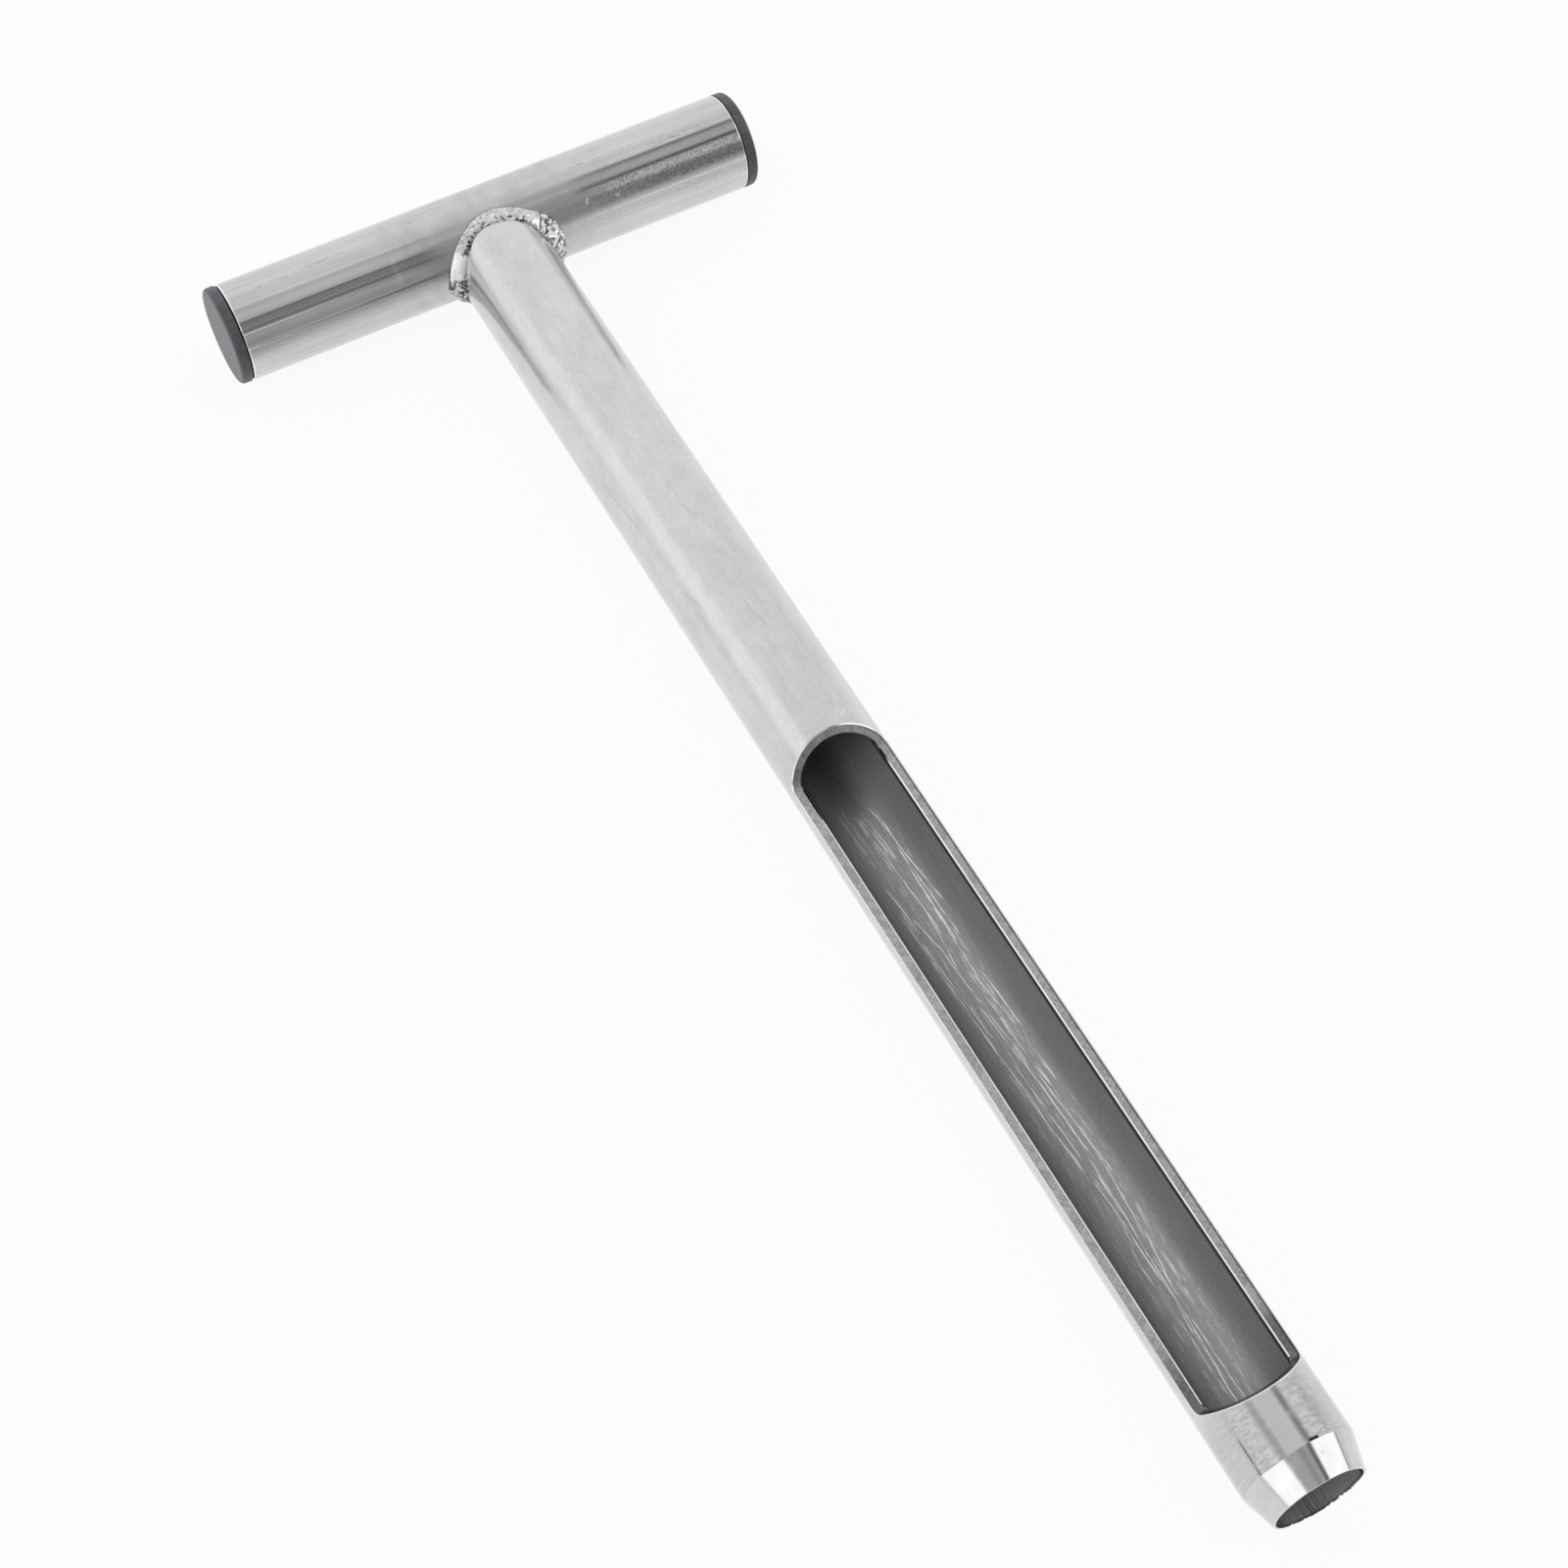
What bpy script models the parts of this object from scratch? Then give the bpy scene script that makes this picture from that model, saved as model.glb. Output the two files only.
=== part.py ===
"""A hand soil probe: a T handle of round tube welded across a windowed probe tube.

The tool lies flat with its window up. The handle runs along X, the probe points to -Y and
Z is up. The origin is the middle of the footprint, on the surface that the tool lies on.
Inside the script the pieces share one joint frame, whose origin is the point where the
axes of the two tubes cross. The empty named tool carries that frame to its place.
"""

import math

import bmesh
import bpy
from mathutils import Matrix, Vector

# The tube stock that the handle and the probe are both cut from
TUBE_OD = 0.022
TUBE_WALL = 0.002

# Handle
HANDLE_TUBE_LENGTH = 0.1216

# Probe: lengths along the tube, the reach from the handle's axis to the cutting lip
PROBE_REACH = 0.3307
BEVEL_LENGTH = 0.0064
LIP_LAND = 0.00045
MOUTH_CHOKE = 0.0003
MOUTH_TAPER = 0.008

# Window: a flat cut with a ramp at each end, milled square across the tube
WINDOW_START = 0.1607
WINDOW_TO_LIP = 0.0175
WINDOW_FLOOR = 0.0032
WINDOW_RAMP = math.radians(62)
WINDOW_FILLET = 0.0025
WINDOW_TURN = math.radians(8.5)

# Weld bead round the joint
WELD_ROOT = 0.0007
WELD_PENETRATION = 0.0012
WELD_LEG_ON_PROBE = 0.0023
WELD_LEG_ON_HANDLE = 0.0028
WELD_CROWN = 0.0004
WELD_TOE = 0.00015

# End plugs
PLUG_FLANGE = 0.0025
PLUG_EDGE_RADIUS = 0.0009
PLUG_SHANK = 0.012
PLUG_SKIN = 0.0014
FIN_HEIGHT = 0.0008
FIN_THICKNESS = 0.0009
FIN_COUNT = 3

# Clearance kept between pieces that touch on the real tool
JOINT_GAP = 0.0003

# How finely round shapes are cut into facets
ROUND_STEPS = 64
BEAD_STEPS = 72
CROWN_STEPS = 4
FILLET_STEPS = 6
EDGE_STEPS = 4

# Edges sharper than these angles show as creases; the bead's flowing faces need a wider one
CREASE_ANGLE = math.radians(30)
BEAD_CREASE_ANGLE = math.radians(45)

# Points closer together than this are one point
MERGE_DISTANCE = 1e-7

# How far cutters reach past what they cut
CUT_MARGIN = 0.004

TUBE_RADIUS = TUBE_OD / 2
BORE_RADIUS = TUBE_RADIUS - TUBE_WALL
MOUTH_RADIUS = BORE_RADIUS - MOUTH_CHOKE
LIP_RADIUS = MOUTH_RADIUS + LIP_LAND
HANDLE_HALF = HANDLE_TUBE_LENGTH / 2
COPE_RADIUS = TUBE_RADIUS + WELD_ROOT + 2 * JOINT_GAP

# Colour, roughness and metallic value of each material
FINISHES = {
    "handle_steel": ((0.62, 0.62, 0.62), 0.22, 1.0),
    "probe_steel": ((0.66, 0.66, 0.65), 0.34, 1.0),
    "weld_steel": ((0.50, 0.50, 0.50), 0.38, 1.0),
    "plug_plastic": ((0.105, 0.107, 0.118), 0.45, 0.0),
}


def clear_scene():
    """Removes whatever the scene holds."""
    for old in list(bpy.context.scene.objects):
        bpy.data.objects.remove(old, do_unlink=True)


def material(name):
    """A Principled material with the piece's colour, roughness and metallic value."""
    colour, roughness, metallic = FINISHES[name]
    made = bpy.data.materials.new(name)
    made.use_nodes = True
    shader = made.node_tree.nodes["Principled BSDF"]
    shader.inputs["Base Color"].default_value = (*colour, 1.0)
    shader.inputs["Roughness"].default_value = roughness
    shader.inputs["Metallic"].default_value = metallic
    made.diffuse_color = (*colour, 1.0)
    return made


def add_object(name, mesh_data, parent, turn=None):
    """Links a new object for the mesh under the parent, turned by the given matrix."""
    obj = bpy.data.objects.new(name, mesh_data)
    bpy.context.scene.collection.objects.link(obj)
    obj.parent = parent
    if turn is not None:
        obj.matrix_local = turn
    return obj


def finish_mesh(shape, name, crease_angle=CREASE_ANGLE):
    """Turns a bmesh into a mesh whose faces point out and whose round sides are smooth."""
    bmesh.ops.remove_doubles(shape, verts=shape.verts, dist=MERGE_DISTANCE)
    bmesh.ops.recalc_face_normals(shape, faces=shape.faces)
    mesh_data = bpy.data.meshes.new(name)
    shape.to_mesh(mesh_data)
    shape.free()
    mesh_data.shade_smooth()
    mesh_data.set_sharp_from_angle(angle=crease_angle)
    return mesh_data


def turned(name, outline, closed):
    """Spins an outline of (radius, height) points a full turn about the Z axis."""
    shape = bmesh.new()
    points = [shape.verts.new((radius, 0, height)) for radius, height in outline]
    edges = [shape.edges.new(pair) for pair in zip(points, points[1:])]
    if closed:
        edges.append(shape.edges.new((points[-1], points[0])))
    bmesh.ops.spin(
        shape,
        geom=points + edges,
        cent=(0, 0, 0),
        axis=(0, 0, 1),
        angle=2 * math.pi,
        steps=ROUND_STEPS,
        use_merge=True,
    )
    return finish_mesh(shape, name)


def rounded_corner(before, corner, after, radius, steps):
    """Points of the arc that rounds a corner between two straight edges."""
    before, corner, after = Vector(before), Vector(corner), Vector(after)
    back = (before - corner).normalized()
    ahead = (after - corner).normalized()
    half = back.angle(ahead) / 2
    centre = corner + (back + ahead).normalized() * (radius / math.sin(half))
    start = corner + back * (radius / math.tan(half)) - centre
    end = corner + ahead * (radius / math.tan(half)) - centre
    sweep = start.angle_signed(end)
    arc = []
    for step in range(steps + 1):
        share = step / steps
        arc.append(centre + Matrix.Rotation(-sweep * share, 2) @ start)
    return arc


def cut_away(obj, cutter):
    """Takes the cutter's shape out of the object with a live Boolean."""
    cutter.hide_render = True
    cutter.display_type = "WIRE"
    boolean = obj.modifiers.new("Cut by " + cutter.name, "BOOLEAN")
    boolean.operation = "DIFFERENCE"
    boolean.solver = "EXACT"
    boolean.object = cutter


def handle_tube(tool):
    """The plain cross tube, cut square at both ends."""
    outline = [
        (TUBE_RADIUS, HANDLE_HALF),
        (TUBE_RADIUS, -HANDLE_HALF),
        (BORE_RADIUS, -HANDLE_HALF),
        (BORE_RADIUS, HANDLE_HALF),
    ]
    along_x = Matrix.Rotation(math.radians(90), 4, "Y")
    obj = add_object("handle_tube", turned("handle_tube", outline, True), tool, along_x)
    obj.data.materials.append(material("handle_steel"))


def probe_blank(tool):
    """The probe tube before its cope and window are cut, with the turned cutting end."""
    outline = [
        (TUBE_RADIUS, 0),
        (TUBE_RADIUS, PROBE_REACH - BEVEL_LENGTH),
        (LIP_RADIUS, PROBE_REACH),
        (MOUTH_RADIUS, PROBE_REACH),
        (BORE_RADIUS, PROBE_REACH - MOUTH_TAPER),
        (BORE_RADIUS, 0),
    ]
    to_the_tip = Matrix.Rotation(math.radians(90), 4, "X")
    return add_object("probe_tube", turned("probe_tube", outline, True), tool, to_the_tip)


def cope_cutter(tool):
    """A round bar on the handle's axis that leaves room for the handle and the weld's root."""
    shape = bmesh.new()
    bmesh.ops.create_cone(
        shape,
        cap_ends=True,
        segments=ROUND_STEPS,
        radius1=COPE_RADIUS,
        radius2=COPE_RADIUS,
        depth=TUBE_OD + 2 * CUT_MARGIN,
    )
    along_x = Matrix.Rotation(math.radians(90), 4, "Y")
    return add_object("cope_cutter", finish_mesh(shape, "cope_cutter"), tool, along_x)


def window_outline():
    """Side view of the milling cut: Y along the probe and Z up, in the joint frame."""
    top = TUBE_RADIUS + CUT_MARGIN
    run = 1 / math.tan(WINDOW_RAMP)
    upper_end = -WINDOW_START
    lower_end = -(PROBE_REACH - WINDOW_TO_LIP)
    outline = [Vector((upper_end + (top - TUBE_RADIUS) * run, top))]
    depth = TUBE_RADIUS - WINDOW_FLOOR
    upper_foot = (upper_end - depth * run, WINDOW_FLOOR)
    lower_foot = (lower_end + depth * run, WINDOW_FLOOR)
    lower_rim = (lower_end - (top - TUBE_RADIUS) * run, top)
    outline += rounded_corner(outline[0], upper_foot, lower_foot, WINDOW_FILLET, FILLET_STEPS)
    outline += rounded_corner(upper_foot, lower_foot, lower_rim, WINDOW_FILLET, FILLET_STEPS)
    outline.append(Vector(lower_rim))
    return outline


def window_cutter(tool):
    """The window's side view extruded across the tube and turned about the probe's axis."""
    reach = TUBE_RADIUS + CUT_MARGIN
    shape = bmesh.new()
    side = [shape.verts.new((-reach, y, z)) for y, z in window_outline()]
    face = shape.faces.new(side)
    grown = bmesh.ops.extrude_face_region(shape, geom=[face])
    moved = [item for item in grown["geom"] if isinstance(item, bmesh.types.BMVert)]
    bmesh.ops.translate(shape, verts=moved, vec=(2 * reach, 0, 0))
    turn = Matrix.Rotation(-WINDOW_TURN, 4, "Y")
    return add_object("window_cutter", finish_mesh(shape, "window_cutter"), tool, turn)


def probe_tube(tool):
    """The probe: coped to the handle, windowed, bevelled to a thin lip."""
    obj = probe_blank(tool)
    obj.data.materials.append(material("probe_steel"))
    cut_away(obj, cope_cutter(tool))
    cut_away(obj, window_cutter(tool))


def beside_handle(radius, angle, distance):
    """The point at a radius and angle about the probe, this far from the handle's axis."""
    x = radius * math.sin(angle)
    z = radius * math.cos(angle)
    return Vector((x, -math.sqrt(distance**2 - z**2), z))


def on_handle(x, turn, distance):
    """The point at x along the handle, turned from straight up towards the probe's side."""
    return Vector((x, -distance * math.sin(turn), distance * math.cos(turn)))


def handle_toe(angle):
    """Where the bead's outer toe lies on the handle: place along X and turn about it.

    The seam is unrolled from the handle's surface, and the toe is one leg outside it.
    """
    seam_depth = math.sqrt(COPE_RADIUS**2 - (TUBE_RADIUS * math.cos(angle)) ** 2)
    seam_turn = math.atan2(seam_depth, TUBE_RADIUS * math.cos(angle))
    along = TUBE_RADIUS * math.cos(angle)
    around = TUBE_RADIUS**2 * math.sin(angle) / seam_depth
    length = math.hypot(along, around)
    x = TUBE_RADIUS * math.sin(angle) + WELD_LEG_ON_HANDLE * around / length
    turn = seam_turn - WELD_LEG_ON_HANDLE * along / length / TUBE_RADIUS
    return x, turn


def bead_section(angle):
    """One closed cross-section of the bead, at this angle about the probe's axis.

    It runs from the toe on the probe over the crown to the toe on the handle, back along
    the handle into the root, out of the root and down the probe to the first toe.
    """
    outward = Vector((math.sin(angle), 0, math.cos(angle)))
    clear = TUBE_RADIUS + JOINT_GAP
    root = TUBE_RADIUS - WELD_PENETRATION
    seam_y = beside_handle(TUBE_RADIUS, angle, COPE_RADIUS).y
    probe_toe_y = Vector((0, seam_y - WELD_LEG_ON_PROBE, 0))
    x, turn = handle_toe(angle)
    start = probe_toe_y + outward * (clear + WELD_TOE)
    end = on_handle(x, turn, clear + WELD_TOE)
    swell = (outward + on_handle(0, turn, 1)).normalized() * WELD_CROWN
    section = []
    for step in range(CROWN_STEPS + 1):
        share = step / CROWN_STEPS
        section.append(start.lerp(end, share) + swell * 4 * share * (1 - share))
    inner = beside_handle(root, angle, clear)
    inner_turn = math.atan2(-inner.y, inner.z)
    section.append(on_handle(x, turn, clear))
    section.append(on_handle((x + inner.x) / 2, (turn + inner_turn) / 2, clear))
    section.append(inner)
    section.append(beside_handle(root, angle, COPE_RADIUS - JOINT_GAP))
    section.append(beside_handle(clear, angle, COPE_RADIUS - JOINT_GAP))
    section.append(probe_toe_y + outward * clear)
    return section


def weld_bead(tool):
    """The bead: its cross-section swept once round the joint."""
    shape = bmesh.new()
    rings = []
    for step in range(BEAD_STEPS):
        section = bead_section(2 * math.pi * step / BEAD_STEPS)
        rings.append([shape.verts.new(point) for point in section])
    for ring, following in zip(rings, rings[1:] + rings[:1]):
        for i in range(len(ring)):
            shape.faces.new((ring[i - 1], ring[i], following[i], following[i - 1]))
    obj = add_object("weld_bead", finish_mesh(shape, "weld_bead", BEAD_CREASE_ANGLE), tool)
    obj.data.materials.append(material("weld_steel"))
    return obj


def plug_outline():
    """Half section of an end plug: radius, and height out of the tube's end."""
    face = JOINT_GAP + PLUG_FLANGE
    rim = rounded_corner(
        (0, face), (TUBE_RADIUS, face), (TUBE_RADIUS, JOINT_GAP), PLUG_EDGE_RADIUS, EDGE_STEPS
    )
    fin_radius = BORE_RADIUS - JOINT_GAP
    core_radius = fin_radius - FIN_HEIGHT
    outline = [(0, face), *rim, (TUBE_RADIUS, JOINT_GAP), (core_radius, JOINT_GAP)]
    pitch = PLUG_SHANK / (FIN_COUNT + 1)
    for fin in range(1, FIN_COUNT + 1):
        height = -fin * pitch
        outline.append((core_radius, height + FIN_THICKNESS / 2))
        outline.append((fin_radius, height + FIN_THICKNESS / 2))
        outline.append((core_radius, height - FIN_THICKNESS / 2))
    outline.append((core_radius, -PLUG_SHANK))
    outline.append((core_radius - PLUG_SKIN, -PLUG_SHANK))
    outline.append((core_radius - PLUG_SKIN, JOINT_GAP + PLUG_FLANGE - PLUG_SKIN))
    outline.append((0, JOINT_GAP + PLUG_FLANGE - PLUG_SKIN))
    return outline


def end_plugs(tool):
    """A plug in each end of the handle, from one shared mesh."""
    mesh_data = turned("end_plug", plug_outline(), False)
    mesh_data.materials.append(material("plug_plastic"))
    for name, side in (("left_end_plug", -1), ("right_end_plug", 1)):
        place = Matrix.Translation((side * HANDLE_HALF, 0, 0))
        facing = Matrix.Rotation(side * math.radians(90), 4, "Y")
        add_object(name, mesh_data, tool, place @ facing)


def main():
    clear_scene()
    tool = bpy.data.objects.new("tool", None)
    bpy.context.scene.collection.objects.link(tool)
    handle_tube(tool)
    probe_tube(tool)
    bead = weld_bead(tool)
    end_plugs(tool)
    lowest = min(vertex.co.z for vertex in bead.data.vertices)
    middle = (PROBE_REACH - TUBE_RADIUS) / 2
    tool.location = (0, middle, -lowest)


main()
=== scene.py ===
# %% [markdown]
# # A hand soil probe
#
# A T handle of round steel tube is welded across a probe tube that has a long window milled
# in one side and a ground cutting lip. Plastic plugs close the handle's ends. The solids are
# packed as a fixed frame, and this lesson dresses them: each one gets a finer piece in its
# place, and each surface a finish.

import math

import bmesh
import bpy
from mathutils import Matrix, Vector, noise


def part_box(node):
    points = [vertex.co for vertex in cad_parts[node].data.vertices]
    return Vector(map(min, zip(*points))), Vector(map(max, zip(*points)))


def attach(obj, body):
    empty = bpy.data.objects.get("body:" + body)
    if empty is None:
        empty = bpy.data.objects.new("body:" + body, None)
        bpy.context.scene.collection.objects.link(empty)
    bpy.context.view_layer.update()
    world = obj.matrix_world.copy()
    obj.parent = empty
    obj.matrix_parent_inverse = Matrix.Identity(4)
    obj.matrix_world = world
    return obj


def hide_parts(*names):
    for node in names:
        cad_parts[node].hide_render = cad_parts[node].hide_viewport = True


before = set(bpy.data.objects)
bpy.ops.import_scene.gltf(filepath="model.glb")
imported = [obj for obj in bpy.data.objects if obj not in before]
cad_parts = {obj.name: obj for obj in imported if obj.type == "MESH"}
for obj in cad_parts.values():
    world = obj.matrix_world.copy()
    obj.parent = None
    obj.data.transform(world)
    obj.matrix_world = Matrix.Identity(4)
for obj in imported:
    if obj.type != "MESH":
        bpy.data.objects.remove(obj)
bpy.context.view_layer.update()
print("nodes:", sorted(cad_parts))

# %% [markdown]
# ## Sizes
#
# The frame says where the tubes lie and how thick they are. What the boxes can't tell, such
# as the wall or the window's depth, is named where it is needed, in metres. The joint is
# where the axes of both tubes cross. Most pieces are worked out round it and moved to it.

# %% Sizes from the frame
handle_low, handle_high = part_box("handle_tube")
probe_low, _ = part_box("probe_tube")
_, plug_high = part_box("right_end_plug")
TUBE_RADIUS = (handle_high.z - handle_low.z) / 2
JOINT = Vector((0, (handle_low.y + handle_high.y) / 2, (handle_low.z + handle_high.z) / 2))
HANDLE_HALF = handle_high.x
PROBE_REACH = JOINT.y - probe_low.y
PLUG_REACH = plug_high.x - HANDLE_HALF

MM = 0.001
TUBE_WALL = 2 * MM
BORE_RADIUS = TUBE_RADIUS - TUBE_WALL
GAP = 0.3 * MM
WINDOW_TURN = math.radians(8.5)
print(f"tube radius {TUBE_RADIUS * 1000:.2f} mm, reach {PROBE_REACH * 1000:.1f} mm")

# %% [markdown]
# ## Camera
#
# The camera stands above, in front and to the left of the tool and looks down at it. Its
# place, turn and lens were worked out from the outlines of the tubes and the round rims.

# %% The camera
CAMERA_PLACE = (-0.15145, -0.27156, 0.47543)
CAMERA_TURN = (33.2579, 0.5045, -28.2668)
CAMERA_LENS = 65.11

scene = bpy.context.scene


def new_object(name, data):
    """An object in the scene."""
    obj = bpy.data.objects.new(name, data)
    scene.collection.objects.link(obj)
    return obj


camera_data = bpy.data.cameras.new("camera")
camera_data.lens = CAMERA_LENS
camera_data.sensor_width = 36
camera_data.clip_start = 0.01
camera = new_object("camera", camera_data)
camera.location = CAMERA_PLACE
camera.rotation_euler = [math.radians(angle) for angle in CAMERA_TURN]
scene.camera = camera
scene.view_settings.view_transform = "Standard"
print("camera at", CAMERA_PLACE, "lens", CAMERA_LENS)

# %% [markdown]
# ## Node helpers
#
# Every finish below is a node tree. A signal is what comes out of a node. Adding, taking
# away or multiplying signals makes the Math nodes that do it, so a tree reads like a formula.

# %% Signals, and helpers that make nodes
class Signal:
    """One output of a node, for use in formulas."""

    def __init__(self, socket):
        self.socket = socket

    def other(self, output):
        """Another output of the same node."""
        return Signal(self.socket.node.outputs[output])

    __add__ = lambda *pair: work_out("ADD", *pair)
    __sub__ = lambda *pair: work_out("SUBTRACT", *pair)
    __rsub__ = lambda self, value: work_out("SUBTRACT", value, self)
    __mul__ = lambda *pair: work_out("MULTIPLY", *pair)
    __truediv__ = lambda *pair: work_out("DIVIDE", *pair)
    __pow__ = lambda *pair: work_out("POWER", *pair)
    __abs__ = lambda self: work_out("ABSOLUTE", self)


def add_node(kind, inputs, tree=None, **settings):
    """A node in this tree or its first signal's, filled in; a bare kind is a shader's."""
    if tree is None:
        tree = next(v.socket.id_data for v in inputs.values() if isinstance(v, Signal))
    node = tree.nodes.new(kind if "Node" in kind else "ShaderNode" + kind)
    for key, value in settings.items():
        setattr(node, key, value)
    for key, value in inputs.items():
        if isinstance(value, Signal):
            tree.links.new(value.socket, node.inputs[key])
        else:
            node.inputs[key].default_value = value
    return node


def made(kind, inputs, output=0, **settings):
    """The signal that comes out of a new node."""
    return Signal(add_node(kind, inputs, **settings).outputs[output])


def work_out(operation, *values):
    """The result of a Math node."""
    return made("Math", dict(enumerate(values)), operation=operation)


def greatest(first, *others):
    """The greatest of several values."""
    for other in others:
        first = work_out("MAXIMUM", first, other)
    return first


def ease(value, low, high, start=0.0, end=1.0):
    """Goes smoothly from start to end while the value goes from low to high."""
    inputs = {"Value": value, "From Min": low, "From Max": high, "To Min": start, "To Max": end}
    return made("MapRange", inputs, "Result", interpolation_type="SMOOTHSTEP")


def between(value, low, high, soft):
    """1 between low and high, 0 outside, with soft edges."""
    return ease(value, low - soft, low + soft) * ease(value, high - soft, high + soft, 1, 0)


def patch(first, second):
    """1 inside one soft rectangle; a side is a value, low, high and softness."""
    return between(*first) * between(*second)


def blend(share, first, second):
    """A number that goes from first to second as share goes from 0 to 1."""
    return made("Mix", {0: share, 2: first, 3: second})


def parts_of(place):
    """The three parts of a place or direction."""
    first = made("SeparateXYZ", {0: place})
    return [first.other(i) for i in range(3)]


def degrees_round(side, height):
    """How far a place is turned from the height's axis towards the side, in degrees."""
    return work_out("DEGREES", work_out("ARCTAN2", side, height))


def empty_tree(owner):
    """The node tree of a world or material, without its first nodes."""
    owner.use_nodes = True
    owner.node_tree.nodes.clear()
    return owner.node_tree


# %% [markdown]
# ## Studio
#
# Bright steel shows its surroundings, so the studio is part of the finish. The tool lies in
# a light tent: the floor and the far side are white, two broad soft lamps hang to the left
# and right, and the camera's side is a darker room. It is painted on the world by direction,
# in three angles: the roll from straight up towards +X, the lean towards the handle, and the
# pitch from straight up towards the camera's side. Camera rays see plain white.

# %% Tent, ceiling and lamps
TENT_LEVEL = 0.87
ROOM_LEVEL = 0.32
CEILING_LEVEL = 0.54
STRIP_LEVEL = 1.14
LAMP_LEVEL = 1.55
WHITE = (1, 1, 1, 1)

scene.world = bpy.data.worlds.new("studio")
tree = empty_tree(scene.world)
direction = made("TexCoord", {}, "Generated", tree=tree)
east, north, up = parts_of(direction)
roll = degrees_round(east, up)
lean = work_out("DEGREES", work_out("ARCSINE", north))
pitch = degrees_round(north * -1, up)


def paint(level, first, second, new_level):
    """Paints one rectangle of directions; a side is an angle, low, high and softness."""
    return blend(patch(first, second), level, new_level)


level = ease(lean, -60, -8, ROOM_LEVEL, TENT_LEVEL)
level += ease(lean, 26, 40, 0, 0.12)
dimmed = work_out("MINIMUM", level, CEILING_LEVEL)
level = paint(level, (roll, -30, 24, 4), (lean, -95, 4, 5), dimmed)
level = paint(level, (roll, -76, -42, 5), (lean, 18, 45, 5), STRIP_LEVEL)
level = paint(level, (roll, -86, -34, 3), (lean, -32, 0, 5), LAMP_LEVEL)
level = paint(level, (roll, 25, 76, 3), (lean, -30, 0, 5), LAMP_LEVEL)

# %% [markdown]
# ## Studio: the bands on the handle
#
# The handle mirrors a strip of the room, from the ceiling down to the floor on the camera's
# side, where panels and gaps make dark and bright bands. Three rows of levels along the pitch
# say what its left part, the part beside the weld and its right part see.

# %% The bands that the handle mirrors
BANDS_START = -11
BANDS_END = 100
LEFT_BANDS = (
    (-11, 0.93), (-6, 0.85), (-2, 0.6), (2, 0.6), (9, 0.7), (19, 0.69), (25, 0.62),
    (28, 0.34), (30, 0.18), (33, 0.29), (46, 0.32), (49.5, 0.17), (52, 0.36), (65, 0.5),
    (75, 0.44), (83, 0.4), (90, 0.6), (95, 0.78),
)
MIDDLE_BANDS = (
    (-11, 0.8), (-7, 0.53), (14, 0.5), (25, 0.31), (48, 0.26), (57, 0.39), (66, 0.46),
    (78, 0.45), (88, 0.66), (95, 0.75),
)
RIGHT_BANDS = (
    (-11, 0.92), (-7, 0.62), (-3, 0.2), (1, 0.38), (6, 0.56), (18, 0.55), (22, 0.33),
    (25, 0.12), (28, 0.22), (32, 0.52), (45, 0.62), (48, 0.5), (53, 0.26), (66, 0.23),
    (74, 0.28), (81, 0.45), (88, 0.68), (95, 0.8),
)


def bands(value, stops):
    """A row of levels, with straight steps between the stops."""
    inputs = {"Value": value, "From Min": BANDS_START, "From Max": BANDS_END}
    share = made("MapRange", inputs, "Result")
    row = made("ValToRGB", {0: share})
    points = row.socket.node.color_ramp.elements
    while len(points) < len(stops):
        points.new(0.5)
    for point, (place, stop_level) in zip(points, stops):
        point.position = (place - BANDS_START) / (BANDS_END - BANDS_START)
        point.color = (stop_level, stop_level, stop_level, 1)
    return row


room, middle, right = [bands(pitch, stops) for stops in (LEFT_BANDS, MIDDLE_BANDS, RIGHT_BANDS)]
room = blend(ease(east, 0.205, 0.245), room, middle)
room = blend(ease(east, 0.262, 0.279), room, right)
level = paint(level, (east, 0.11, 0.36, 0.02), (pitch, BANDS_START, 140, 1.5), room)
level = paint(level, (east, 0.1, 0.175, 0.02), (pitch, 55, 58, 1), 0.86)
seen = made("LightPath", {}, "Is Camera Ray", tree=tree)
level = blend(seen, level, 1)
sky = made("Background", {"Color": WHITE, "Strength": level})
add_node("OutputWorld", {"Surface": sky})
print("world nodes:", len(tree.nodes))

# %% [markdown]
# ## Floor
#
# The floor is matt white paper. The camera and every mirror image see most of it as plain
# white, and the rest keeps the tool's soft shadow. Towards the rim it is all white, so the
# paper has no visible end. Seen by the steel along the paper towards the camera's side, it
# mirrors the dark room, so it is dimmer that way, most of all left of the probe.

# %% The floor
FLOOR_HALF = 0.45
PAPER = (0.9, 0.9, 0.9, 1)
WHITE_SHARE = 0.92
SLANT_LEVEL = 0.45
TO_THE_ROOM = (0, 0.7071, 0.7071)

floor_mesh = bpy.data.meshes.new("floor")
corners = [(-1, -1, 0), (1, -1, 0), (1, 1, 0), (-1, 1, 0)]
floor_mesh.from_pydata([Vector(corner) * FLOOR_HALF for corner in corners], [], [range(4)])
floor = new_object("floor", floor_mesh)
paper = bpy.data.materials.new("paper")
tree = empty_tree(paper)
glossy = made("LightPath", {}, "Is Glossy Ray", tree=tree)
mirrored = greatest(glossy, glossy.other("Is Transmission Ray"))
seen = greatest(glossy.other("Is Camera Ray"), mirrored)
slant = made("LayerWeight", {"Blend": 0.5}, "Facing", tree=tree)
dimmer = ease(slant, 0.2, 0.98, 0.98, SLANT_LEVEL)
spot = made("TexCoord", {}, "Object", tree=tree)
tilt = made("CombineXYZ", dict(enumerate(TO_THE_ROOM)), tree=tree)
tilt = made("LayerWeight", {"Blend": 0.5, "Normal": tilt}, "Facing")
roomward = ease(tilt, 0.24, 0.292, 1, 0) * mirrored
roomward *= ease(parts_of(spot)[0], 0, 0.03, 1, 0.45)
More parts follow.
